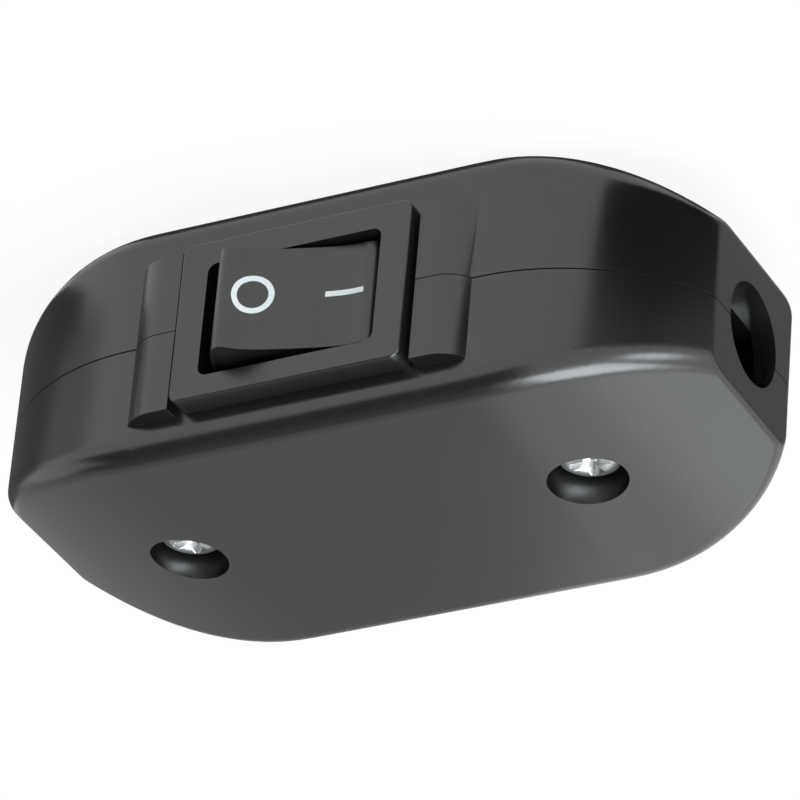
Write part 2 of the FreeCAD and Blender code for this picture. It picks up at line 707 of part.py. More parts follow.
def binding_flange(body, left, right, screw_x):
    """Add a terminal's bent-over flange with its screw hole."""
    flange = new_sketch(body, body.Label + "_flange", "XY_Plane", "-strip_width / 2")
    rectangle(flange, left, right, FLANGE_Y, TAIL_Y)
    pad(flange, "strip_thickness")
    hole = new_sketch(body, body.Label + "_hole", "XY_Plane")
    disc(hole, "binding_radius + thread_clearance", screw_x, BINDING_Y)
    pocket(hole, "strip_width")


def common_terminal():
    """The strip in the middle: the lever's saddle inside, a binding flange outside."""
    body = new_body("common_terminal", z="base_height")
    strip = new_sketch(body, "common_strip", "XY_Plane")
    rectangle(strip, "-strip_thickness / 2", "strip_thickness / 2", FULCRUM_Y + " + saddle_gap", TAIL_Y)
    pad(strip, "strip_width", both=True)
    binding_flange(body, "-strip_thickness / 2 - flange_length", "strip_thickness / 2", COMMON_BINDING_X)
    return body


def load_terminal():
    """The strip at the end: a pad for the fixed contact inside, a binding flange outside."""
    body = new_body("load_terminal", z="base_height")
    strip = new_sketch(body, "load_strip", "XY_Plane")
    outer = LOAD_X + " + strip_thickness"
    inner = outer + " - pad_length"
    outline(strip, [
        (inner, PAD_Y), (outer, PAD_Y), (outer, TAIL_Y), (LOAD_X, TAIL_Y),
        (LOAD_X, PAD_Y + " + strip_thickness"), (inner, PAD_Y + " + strip_thickness"),
    ])
    pad(strip, "strip_width", both=True)
    binding_flange(body, LOAD_X, outer + " + flange_length", LOAD_BINDING_X)
    return body


def binding_places():
    """The two binding screws' names and places across the housing."""
    return (("common", COMMON_BINDING_X), ("load", LOAD_BINDING_X))


def terminal_screws():
    """The two binding screws, tight on their clamp plates."""
    seat = "(base_height + %s + clamp_thickness)" % FLANGE_TOP
    sizes = ("binding_head_radius", "binding_head_height", "binding_radius", "binding_length")
    return group("terminal_screws", [
        cross_screw("terminal_screw_" + name, x, BINDING_Y, seat, *sizes) for name, x in binding_places()
    ])


def clamp_plates():
    """The square plates between the binding screws' heads and the flanges."""
    plates = []
    for name, x in binding_places():
        body = new_body("clamp_plate_" + name, x, BINDING_Y, "base_height + " + FLANGE_TOP)
        square = new_sketch(body, "clamp_square_" + name, "XY_Plane")
        rectangle(square, "-clamp_half", "clamp_half", "-clamp_half", "clamp_half")
        disc(square, "binding_radius + shank_clearance")
        pad(square, "clamp_thickness")
        plates.append(body)
    return group("clamp_plates", plates)


def check(parts):
    """Stop unless every object was made and every piece is a sound solid."""
    for item in document.Objects:
        if "Invalid" in item.State or "Error" in item.State:
            raise RuntimeError("%s failed: %s" % (item.Name, item.State))
    for item in parts:
        if item.Shape.isNull() or not item.Shape.isValid() or not item.Shape.Solids:
            raise RuntimeError("%s is not a sound solid" % item.Label)


pieces = [
    base_half(),
    cover_half(),
    housing_screws(),
    switch_frame(),
    rocker(),
    plunger(),
    plunger_spring(),
    contact_lever(),
    contact("moving_contact", FULCRUM_Y),
    contact("fixed_contact", FIXED_Y),
    common_terminal(),
    load_terminal(),
    terminal_screws(),
    clamp_plates(),
]
document.removeObject(probe.Name)
document.recompute()
check(pieces)
os.makedirs("parts", exist_ok=True)
for piece in pieces:
    piece.Shape.exportStep("parts/%s.step" % piece.Label)
    box = piece.Shape.BoundBox
    print("%s: %d solid, %.1f mm3, x %.2f to %.2f, y %.2f to %.2f, z %.2f to %.2f" % (
        piece.Label, len(piece.Shape.Solids), piece.Shape.Volume,
        box.XMin, box.XMax, box.YMin, box.YMax, box.ZMin, box.ZMax))
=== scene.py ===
"""Inline cord switch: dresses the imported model, prints the rocker's legends and sets the studio."""

from __future__ import annotations

import json
import logging
import math
from dataclasses import dataclass, field
from enum import Enum

import bmesh
import bpy
from mathutils import Matrix, Vector

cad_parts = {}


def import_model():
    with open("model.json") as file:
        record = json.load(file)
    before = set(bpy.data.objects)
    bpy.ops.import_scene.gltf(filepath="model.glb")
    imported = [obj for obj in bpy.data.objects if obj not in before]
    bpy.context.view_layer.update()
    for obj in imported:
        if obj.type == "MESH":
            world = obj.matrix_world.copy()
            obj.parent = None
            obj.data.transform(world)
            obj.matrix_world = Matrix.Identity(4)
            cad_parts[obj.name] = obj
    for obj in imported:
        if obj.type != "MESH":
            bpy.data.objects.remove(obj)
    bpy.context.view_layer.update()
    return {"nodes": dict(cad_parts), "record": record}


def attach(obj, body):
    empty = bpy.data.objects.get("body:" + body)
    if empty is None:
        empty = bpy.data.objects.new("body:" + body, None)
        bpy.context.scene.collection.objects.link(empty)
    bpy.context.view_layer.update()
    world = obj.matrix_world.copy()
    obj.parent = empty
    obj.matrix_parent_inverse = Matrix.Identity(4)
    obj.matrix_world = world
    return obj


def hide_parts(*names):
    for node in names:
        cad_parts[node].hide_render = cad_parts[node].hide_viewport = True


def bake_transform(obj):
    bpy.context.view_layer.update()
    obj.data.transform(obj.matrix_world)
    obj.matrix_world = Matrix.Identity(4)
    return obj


MM = 0.001
SAME_POINT = 1e-6  # metres: points nearer than this are one
FLAT_ANGLE = math.radians(0.3)  # faces that meet at less than this are one
HALF_EASE = 0.00004  # metres: the housing's halves have finer edges than the other pieces
EASE_STEPS = 2
ROUNDING_STEPS = 4
LOG = logging.getLogger("inline_cord_switch")


class Slot(Enum):
    """The record's material slots."""

    HOUSING = "housing_plastic"
    SWITCH = "switch_plastic"
    ROCKER = "rocker_plastic"
    STEEL = "screw_steel"
    BRASS = "terminal_brass"
    SILVER = "contact_silver"


class Body(Enum):
    """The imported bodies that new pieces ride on."""

    HOUSING = "housing"
    ROCKER = "rocker"
    PLUNGER = "plunger"


class MouldedGrain:
    """Shader node group: the faint texture of a moulding tool, as a colour, a roughness and a height."""

    NAME = "moulded_grain"
    FINE_DETAIL = 3.0
    BROAD_SCALE = 60.0
    BROAD_DETAIL = 2.0
    DULL_FROM = 0.3
    DULL_TO = 0.7

    def tree(self) -> bpy.types.NodeTree:
        """Find the group, or build it the first time.

        Returns:
            The node group.
        """
        found = bpy.data.node_groups.get(self.NAME)
        return found if found else self._build()

    def _build(self) -> bpy.types.NodeTree:
        """Build the group's sockets and nodes.

        Returns:
            The new node group.
        """
        tree = bpy.data.node_groups.new(self.NAME, "ShaderNodeTree")
        for name, kind in (("Dark", "NodeSocketColor"), ("Pale", "NodeSocketColor"),
                           ("Scale", "NodeSocketFloat"), ("Smooth", "NodeSocketFloat"),
                           ("Rough", "NodeSocketFloat")):
            tree.interface.new_socket(name, in_out="INPUT", socket_type=kind)
        for name, kind in (("Color", "NodeSocketColor"), ("Roughness", "NodeSocketFloat"),
                           ("Height", "NodeSocketFloat")):
            tree.interface.new_socket(name, in_out="OUTPUT", socket_type=kind)
        nodes, links = tree.nodes, tree.links
        inward, outward = nodes.new("NodeGroupInput"), nodes.new("NodeGroupOutput")
        place = nodes.new("ShaderNodeTexCoord")
        fine, broad = nodes.new("ShaderNodeTexNoise"), nodes.new("ShaderNodeTexNoise")
        fine.inputs["Detail"].default_value = self.FINE_DETAIL
        broad.inputs["Scale"].default_value = self.BROAD_SCALE
        broad.inputs["Detail"].default_value = self.BROAD_DETAIL
        tint, gloss = nodes.new("ShaderNodeMix"), nodes.new("ShaderNodeMapRange")
        tint.data_type = "RGBA"
        gloss.inputs["From Min"].default_value = self.DULL_FROM
        gloss.inputs["From Max"].default_value = self.DULL_TO
        for start, end in (
            (place.outputs["Object"], fine.inputs["Vector"]),
            (place.outputs["Object"], broad.inputs["Vector"]),
            (inward.outputs["Scale"], fine.inputs["Scale"]),
            (broad.outputs["Fac"], tint.inputs["Factor"]),
            (inward.outputs["Dark"], tint.inputs["A"]),
            (inward.outputs["Pale"], tint.inputs["B"]),
            (broad.outputs["Fac"], gloss.inputs["Value"]),
            (inward.outputs["Smooth"], gloss.inputs["To Min"]),
            (inward.outputs["Rough"], gloss.inputs["To Max"]),
            (tint.outputs["Result"], outward.inputs["Color"]),
            (gloss.outputs["Result"], outward.inputs["Roughness"]),
            (fine.outputs["Fac"], outward.inputs["Height"]),
        ):
            links.new(start, end)
        return tree


@dataclass(frozen=True)
class Moulding:
    """A moulded or stamped finish with a faint grain.

    Attributes:
        name: the material's name.
        dark: linear colour of the darker patches.
        pale: linear colour of the paler patches.
        smooth: roughness of the glossier patches.
        rough: roughness of the duller patches.
        grain: how many grains there are to a metre.
        relief: height of the grain in metres.
        metallic: 1 for metal.
        specular: the shader's specular level.
    """

    name: str
    dark: tuple[float, float, float]
    pale: tuple[float, float, float]
    smooth: float
    rough: float
    grain: float
    relief: float
    metallic: float = 0.0
    specular: float = 0.5

    def material(self) -> bpy.types.Material:
        """Find the material, or build it the first time.

        Returns:
            The material.
        """
        found = bpy.data.materials.get(self.name)
        if found:
            return found
        made = bpy.data.materials.new(self.name)
        made.use_nodes = True
        nodes, links = made.node_tree.nodes, made.node_tree.links
        shader = nodes["Principled BSDF"]
        shader.inputs["Metallic"].default_value = self.metallic
        shader.inputs["Specular IOR Level"].default_value = self.specular
        group = nodes.new("ShaderNodeGroup")
        group.node_tree = MouldedGrain().tree()
        group.inputs["Dark"].default_value = (*self.dark, 1.0)
        group.inputs["Pale"].default_value = (*self.pale, 1.0)
        group.inputs["Scale"].default_value = self.grain
        group.inputs["Smooth"].default_value = self.smooth
        group.inputs["Rough"].default_value = self.rough
        bump = nodes.new("ShaderNodeBump")
        bump.inputs["Distance"].default_value = self.relief
        links.new(group.outputs["Color"], shader.inputs["Base Color"])
        links.new(group.outputs["Roughness"], shader.inputs["Roughness"])
        links.new(group.outputs["Height"], bump.inputs["Height"])
        links.new(bump.outputs["Normal"], shader.inputs["Normal"])
        return made


@dataclass(frozen=True)
class Print:
    """A flat printed finish.

    Attributes:
        name: the material's name.
        colour: linear colour.
        roughness: the shader's roughness.
    """

    name: str
    colour: tuple[float, float, float]
    roughness: float

    def material(self) -> bpy.types.Material:
        """Find the material, or build it the first time.

        Returns:
            The material.
        """
        found = bpy.data.materials.get(self.name)
        if found:
            return found
        made = bpy.data.materials.new(self.name)
        made.use_nodes = True
        shader = made.node_tree.nodes["Principled BSDF"]
        shader.inputs["Base Color"].default_value = (*self.colour, 1.0)
        shader.inputs["Roughness"].default_value = self.roughness
        return made


HOUSING_BLACK = Moulding("housing_black", dark=(0.0052, 0.0055, 0.0056), pale=(0.0066, 0.0067, 0.0066),
                         smooth=0.24, rough=0.28, grain=5200.0, relief=0.000003, specular=1.0)
BEZEL_BLACK = Moulding("bezel_black", dark=(0.0060, 0.0060, 0.0058), pale=(0.0075, 0.0074, 0.0072),
                       smooth=0.30, rough=0.34, grain=5600.0, relief=0.000003, specular=1.0)
ROCKER_BLACK = Moulding("rocker_black", dark=(0.0050, 0.0050, 0.0050), pale=(0.0062, 0.0061, 0.0060),
                        smooth=0.28, rough=0.32, grain=5600.0, relief=0.000003, specular=1.0)
ZINC_STEEL = Moulding("zinc_steel", dark=(0.66, 0.67, 0.68), pale=(0.78, 0.78, 0.77),
                      smooth=0.36, rough=0.46, grain=3000.0, relief=0.000002, metallic=1.0)
STAMPED_BRASS = Moulding("stamped_brass", dark=(0.60, 0.42, 0.17), pale=(0.72, 0.53, 0.24),
                         smooth=0.28, rough=0.40, grain=2600.0, relief=0.000002, metallic=1.0)
CONTACT_SILVER = Moulding("silver_face", dark=(0.74, 0.74, 0.72), pale=(0.83, 0.82, 0.80),
                          smooth=0.22, rough=0.34, grain=3000.0, relief=0.000002, metallic=1.0)
LEGEND_WHITE = Print("legend_white", colour=(0.70, 0.76, 0.78), roughness=0.45)

FINISHES: dict[str, Moulding] = {
    Slot.HOUSING.value: HOUSING_BLACK,
    Slot.SWITCH.value: BEZEL_BLACK,
    Slot.ROCKER.value: ROCKER_BLACK,
    Slot.STEEL.value: ZINC_STEEL,
    Slot.BRASS.value: STAMPED_BRASS,
    Slot.SILVER.value: CONTACT_SILVER,
}


def link_piece(name: str, shape: bmesh.types.BMesh, finish: Moulding | Print) -> bpy.types.Object:
    """Make an object of a finished mesh.

    Args:
        name: the piece's name.
        shape: the finished mesh, in the row frame. It is freed.
        finish: what it is made of.

    Returns:
        The new object.
    """
    mesh = bpy.data.meshes.new(name)
    shape.to_mesh(mesh)
    shape.free()
    mesh.materials.append(finish.material())
    piece = bpy.data.objects.new(name, mesh)
    bpy.context.scene.collection.objects.link(piece)
    LOG.info("%s: %d faces", name, len(mesh.polygons))
    return piece


@dataclass
class SmoothNode:
    """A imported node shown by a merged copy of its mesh, with soft edges and smooth shading.

    Attributes:
        node: the node's name.
        slot: its material slot.
        body: the body it rides on.
        soften: width of the eased edges in metres, or 0 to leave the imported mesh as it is.
        crease: angle in degrees above which an edge counts as one.
    """

    node: str
    slot: Slot
    body: Body
    soften: float = 0.00007
    crease: float = 32.0

    def build(self, source: bpy.types.Object) -> bpy.types.Object:
        """Copy the node's mesh, ease its edges and stand it in the node's place.

        Args:
            source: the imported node's object.

        Returns:
            The new piece.
        """
        shape = bmesh.new()
        shape.from_mesh(source.data)
        bmesh.ops.remove_doubles(shape, verts=shape.verts[:], dist=SAME_POINT)
        self._refine(shape)
        if self.soften:
            self._ease(shape)
        for face in shape.faces:
            face.smooth = True
        piece = link_piece(self.node + "_shown", shape, FINISHES[self.slot.value])
        self._seat(piece)
        piece.data.set_sharp_from_angle(angle=math.radians(self.crease))
        weighted = piece.modifiers.new("even_shading", "WEIGHTED_NORMAL")
        weighted.keep_sharp = True
        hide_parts(self.node)
        return piece

    def _seat(self, piece: bpy.types.Object) -> None:
        """Let the piece ride on its body."""
        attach(piece, self.body.value)

    def _refine(self, shape: bmesh.types.BMesh) -> None:
        """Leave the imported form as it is. A node whose look needs more has its own class."""

    def _merge_flats(self, shape: bmesh.types.BMesh) -> None:
        """Merge the triangles of each flat face."""
        bmesh.ops.dissolve_limit(shape, angle_limit=FLAT_ANGLE, verts=shape.verts[:], edges=shape.edges[:],
                                 use_dissolve_boundaries=False)

    def _ease(self, shape: bmesh.types.BMesh) -> None:
        """Merge the triangles of each flat face, and bevel the creased edges a little.

        Args:
            shape: the mesh to change.
        """
        self._merge_flats(shape)
        limit = math.radians(self.crease)
        edges = [edge for edge in shape.edges
                 if edge.is_manifold and abs(edge.calc_face_angle_signed()) > limit]
        bmesh.ops.bevel(shape, geom=edges, offset=self.soften, offset_type="OFFSET", affect="EDGES",
                        segments=EASE_STEPS, profile=0.5, material=-1, clamp_overlap=True)


@dataclass
class BaseNode(SmoothNode):
    """The base half, with its chamfer at the parting line shown as a ledge that catches less light.

    Attributes:
        chamfer_low: height where the chamfer starts.
        chamfer_high: height where it ends.
        ledge: height of the ledge.
    """

    chamfer_low: float = 12.07 * MM
    chamfer_high: float = 12.18 * MM
    ledge: float = 12.19 * MM

    def _refine(self, shape: bmesh.types.BMesh) -> None:
        """Lift the chamfer's lower edge to the ledge.

        Args:
            shape: the mesh to change.
        """
        for vert in shape.verts:
            if self.chamfer_low < vert.co.z < self.chamfer_high:
                vert.co.z = self.ledge


@dataclass
class FrameNode(SmoothNode):
    """The switch frame, with more air between its window and the rocker's sides.

    Attributes:
        parting: height of the window's middle.
        half_length: half of the window's length.
        half_height: half of the window's height.
        corner: rounding of the window's corners.
        near_room: how far the window's edge moves out on the cover's side.
        far_room: how far it moves out on the base's side.
        play: how far a point may lie from the window and still count as on it.
    """

    parting: float = 12.2 * MM
    half_length: float = 7.95 * MM
    half_height: float = 5.0 * MM
    corner: float = 0.8 * MM
    near_room: float = 0.5 * MM
    far_room: float = 0.2 * MM
    play: float = 0.01 * MM

    def _refine(self, shape: bmesh.types.BMesh) -> None:
        """Move the window's two long walls and their corners outwards.

        Args:
            shape: the mesh to change.
        """
        for vert in shape.verts:
            off = vert.co.z - self.parting
            inside = self.half_height - self.corner - self.play < abs(off) < self.half_height + self.play
            if inside and abs(vert.co.x) < self.half_length + self.play:
                vert.co.z += self.near_room if off > 0 else -self.far_room


@dataclass(frozen=True)
class RockerForm:
    """The rocker's own frame, and the form of its hollow face.

    Attributes:
        pivot: the pivot in metres.
        tilt: the lean at rest, in degrees about Z.
        hollow: radius of the hollow face.
        floor: pivot to the deepest line of the face.
        half: half of the rocker's height.
        fill: how much shallower the middle of the face is than its radius gives.
        reach: pivot to where the face's hollow ends, along the rocker.
        cut_from: pivot to where the raised end starts to be shorter.
        cut_to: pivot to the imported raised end.
        cut: how much shorter the raised end is.
    """

    pivot: tuple[float, float, float] = (0.0, -16.5 * MM, 12.2 * MM)
    tilt: float = -16.5
    hollow: float = 13.7 * MM
    floor: float = 1.742 * MM
    half: float = 4.8 * MM
    fill: float = 0.6 * MM
    reach: float = 6.6 * MM
    cut_from: float = 4.5 * MM
    cut_to: float = 7.4 * MM
    cut: float = 0.4 * MM

    def matrix(self) -> Matrix:
        """Place the rocker's own frame in the row frame."""
        return Matrix.Translation(self.pivot) @ Matrix.Rotation(math.radians(self.tilt), 4, "Z")

    def moulded_depth(self, along: float) -> float:
        """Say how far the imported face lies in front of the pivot, at a place along the rocker."""
        return self.floor + self.hollow - math.sqrt(self.hollow ** 2 - along ** 2)

    def filled(self, along: float) -> float:
        """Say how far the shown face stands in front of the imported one, at a place along the rocker."""
        return self.fill * math.cos(0.5 * math.pi * min(1.0, abs(along) / self.reach)) ** 2

    def shown_place(self, along: float) -> float:
        """Say where a packed place along the rocker is shown, with the shorter raised end."""
        return along - self.cut * max(0.0, along - self.cut_from) / (self.cut_to - self.cut_from)


@dataclass
class SpringNode(SmoothNode):
    """The plunger's spring. Its copy stays fixed where it was imported and does not shorten as the plunger
    slides into the rocker.

    Attributes:
        form: the rocker's frame.
        seat: pivot to the spring's end in the rocker; not used.
        head: pivot to its end at the plunger; not used.
    """

    form: RockerForm = RockerForm()
    seat: float = 0.07 * MM
    head: float = 2.53 * MM

    def _seat(self, piece: bpy.types.Object) -> None:
        """Fix the copy where it stands in the row frame, on no body.

        Args:
            piece: the spring.
        """
        there = self.form.matrix()
        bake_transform(piece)


@dataclass
class RockerNode(SmoothNode):
    """The rocker, with a shallower face, rounded long edges and a shorter raised end.

    Attributes:
        form: its frame and its face.
        strip: width of the strips that the face is cut into.
        rounding: rounding of the long edges.
        face_play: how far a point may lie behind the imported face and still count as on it.
        side_play: how far one may lie from a long side and still count as on it.
        rim_depth: pivot to where the long edges stop, behind the face.
    """

    form: RockerForm = RockerForm()
    strip: float = 0.5 * MM
    rounding: float = 0.45 * MM
    face_play: float = 0.05 * MM
    side_play: float = 0.02 * MM
    rim_depth: float = 1.0 * MM

    def _refine(self, shape: bmesh.types.BMesh) -> None:
        """Reshape the face and the ends in the rocker's own frame.

        Args:
            shape: the mesh to change.
        """
        there = self.form.matrix()
        bmesh.ops.transform(shape, matrix=there.inverted(), verts=shape.verts[:])
        self._merge_flats(shape)
        count = int(self.form.reach / self.strip)
        for step in range(-count, count + 1):
            bmesh.ops.bisect_plane(shape, geom=shape.verts[:] + shape.edges[:] + shape.faces[:],
                                   dist=SAME_POINT, plane_co=(step * self.strip, 0, 0), plane_no=(1, 0, 0))
        for vert in shape.verts:
            along = vert.co.x
            if abs(along) < self.form.reach and vert.co.y < self.face_play - self.form.moulded_depth(along):
                vert.co.y -= self.form.filled(along)
            vert.co.x = self.form.shown_place(along)
        rims = [edge for edge in shape.edges if edge.is_manifold and self._is_rim(edge)]
        bmesh.ops.bevel(shape, geom=rims, offset=self.rounding, offset_type="OFFSET", affect="EDGES",
                        segments=ROUNDING_STEPS, profile=0.5, material=-1, clamp_overlap=True)
        bmesh.ops.transform(shape, matrix=there, verts=shape.verts[:])

    def _is_rim(self, edge: bmesh.types.BMEdge) -> bool:
        """Say whether an edge is one of the face's long edges or their run down the ends.

        Args:
            edge: an edge in the rocker's own frame.

        Returns:
            True if the edge is to be rounded.
        """
        on_side = all(abs(abs(vert.co.z) - self.form.half) < self.side_play and vert.co.y < self.rim_depth
                      for vert in edge.verts)
        return on_side and abs(edge.calc_face_angle_signed()) > math.radians(self.crease)

    def _ease(self, shape: bmesh.types.BMesh) -> None:
        """Leave the edges as they are: those that show are rounded already."""


@dataclass
class RockerLegends:
    """The two marks printed on the rocker's hollow face: a ring for off and a bar for on.

    Attributes:
        form: the rocker's frame and its face.
        ring_place: pivot to the ring's centre, along the rocker.
        ring_radius: middle of the ring's stroke.
        ring_stroke: width of the ring's stroke.
        bar_place: pivot to the bar's centre, along the rocker.
        bar_length: length of the bar.
        bar_stroke: width of the bar.
        ring_rise: how far the ring stands off the middle, toward the base.
        bar_rise: how far the bar does.
        film: how far the print stands above the face.
        ring_steps: how many faces go round the ring.
        bar_cuts: how many cuts let the bar follow the face.
    """

    form: RockerForm = RockerForm()
    ring_place: float = 3.62 * MM
    ring_radius: float = 1.55 * MM
    ring_stroke: float = 0.5 * MM
    bar_place: float = -4.0 * MM
    bar_length: float = 3.25 * MM
    bar_stroke: float = 0.5 * MM
    ring_rise: float = 0.4 * MM
    bar_rise: float = 0.24 * MM
    film: float = 0.02 * MM
    ring_steps: int = 72
    bar_cuts: int = 11

    def build(self) -> list[bpy.types.Object]:
        """Make both marks.

        Returns:
            The ring and the bar.
        """
        return [self._ring(), self._bar()]

    def _lay(self, shape: bmesh.types.BMesh, name: str, rise: float) -> bpy.types.Object:
        """Bend a flat mark onto the hollow face and put it in place.

        Args:
            shape: a mark in the rocker's XZ plane, one film thick on both sides of it. It is freed.
            name: the piece's name.
            rise: how far it stands off the middle, toward the base.

        Returns:
            The new piece.
        """
        for vert in shape.verts:
            vert.co.y -= self.form.moulded_depth(vert.co.x) + self.form.filled(vert.co.x)
            vert.co.x = self.form.shown_place(vert.co.x)
            vert.co.z -= rise
        bmesh.ops.transform(shape, matrix=self.form.matrix(), verts=shape.verts[:])
        bmesh.ops.recalc_face_normals(shape, faces=shape.faces[:])
        mark = link_piece(name, shape, LEGEND_WHITE)
        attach(mark, Body.ROCKER.value)
        return mark

    def _ring(self) -> bpy.types.Object:
        """Spin a small rectangle into the ring.

        Returns:
            The ring.
        """
        shape = bmesh.new()
        inner, outer = self.ring_radius - self.ring_stroke / 2, self.ring_radius + self.ring_stroke / 2
        corners = [shape.verts.new((radius, depth, 0.0)) for radius, depth in (
            (inner, self.film), (outer, self.film), (outer, -self.film), (inner, -self.film))]
        edges = [shape.edges.new((corners[i], corners[i - 1])) for i in range(4)]
        bmesh.ops.spin(shape, geom=corners + edges, cent=(0, 0, 0), axis=(0, 1, 0), angle=math.tau,
                       steps=self.ring_steps, use_merge=True)
        bmesh.ops.translate(shape, vec=(self.ring_place, 0, 0), verts=shape.verts[:])
        return self._lay(shape, "off_ring", self.ring_rise)

    def _bar(self) -> bpy.types.Object:
        """Cut a box into slices for the bar.

        Returns:
            The bar.
        """
        shape = bmesh.new()
        bmesh.ops.create_cube(shape, size=1.0)
        bmesh.ops.scale(shape, vec=(self.bar_length, 2 * self.film, self.bar_stroke), verts=shape.verts[:])
        along = [edge for edge in shape.edges
                 if abs(edge.verts[0].co.x - edge.verts[1].co.x) > self.bar_length / 2]
        bmesh.ops.subdivide_edges(shape, edges=along, cuts=self.bar_cuts)
        bmesh.ops.translate(shape, vec=(self.bar_place, 0, 0), verts=shape.verts[:])
        return self._lay(shape, "on_bar", self.bar_rise)


def seen_rays(tree: bpy.types.NodeTree) -> bpy.types.NodeSocket:
    """Add a mask that is 1 for rays that show a surface: of the camera, mirrored or through glass.

    Args:
        tree: the material's or the world's nodes.

    Returns:
        The mask's socket.
    """
    nodes, links = tree.nodes, tree.links
    path, either, any_of = (nodes.new("ShaderNodeLightPath"), nodes.new("ShaderNodeMath"),
                            nodes.new("ShaderNodeMath"))
    either.operation = any_of.operation = "MAXIMUM"
    links.new(path.outputs["Is Camera Ray"], either.inputs[0])
    links.new(path.outputs["Is Glossy Ray"], either.inputs[1])
    links.new(either.outputs[0], any_of.inputs[0])
    links.new(path.outputs["Is Transmission Ray"], any_of.inputs[1])
    return any_of.outputs[0]


@dataclass
class Softbox:
    """A square lamp that looks at the object.

    Attributes:
        name: the lamp's name.
        place: where it stands, in metres.
        size: its side in metres.
        radiance: how bright its face is, where 1 is white.
        aim: what it looks at.
        tint: the colour of its light.
    """

    name: str
    place: tuple[float, float, float]
    size: float
    radiance: float
    aim: tuple[float, float, float] = (0.0, 0.0, 0.011)
    tint: tuple[float, float, float] = (0.92, 1.0, 1.03)

    def build(self) -> bpy.types.Object:
        """Make the lamp.

        Returns:
            The lamp's object.
        """
        lamp = bpy.data.lights.new(self.name, "AREA")
        lamp.shape = "SQUARE"
        lamp.size = self.size
        lamp.color = self.tint
        lamp.energy = self.radiance * math.pi * self.size ** 2
        made = bpy.data.objects.new(self.name, lamp)
        made.location = self.place
        made.rotation_euler = (Vector(self.aim) - Vector(self.place)).to_track_quat("-Z", "Y").to_euler()
        bpy.context.scene.collection.objects.link(made)
        return made


@dataclass
class Card:
    """A grey or black card that only reflections see: a photographer's flag beside the object, or painted
    contact shadow under it.

    Attributes:
        name: the card's name.
        corners: its corners in metres, in order.
        level: how bright it looks, where 1 is white.
        drop: how far it hangs below its corners, so that one on the floor stays under the object.
    """

    name: str
    corners: list[tuple[float, float, float]]
    level: float
    drop: float = 0.01 * MM

    def build(self) -> bpy.types.Object:
        """Make the card.

        Returns:
            The card's object.
        """
        shape = bmesh.new()
        shape.faces.new([shape.verts.new(corner) for corner in self.corners])
        bmesh.ops.translate(shape, vec=(0, 0, -self.drop), verts=shape.verts[:])
        mesh = bpy.data.meshes.new(self.name)
        shape.to_mesh(mesh)
        shape.free()
        paint = bpy.data.materials.new(self.name)
        paint.use_nodes = True
        nodes, links = paint.node_tree.nodes, paint.node_tree.links
        glow = nodes.new("ShaderNodeEmission")
        glow.inputs["Strength"].default_value = self.level
        links.new(glow.outputs["Emission"], nodes["Material Output"].inputs["Surface"])
        mesh.materials.append(paint)
        card = bpy.data.objects.new(self.name, mesh)
        card.visible_camera = card.visible_diffuse = card.visible_shadow = card.visible_transmission = False
        bpy.context.scene.collection.objects.link(card)
        return card


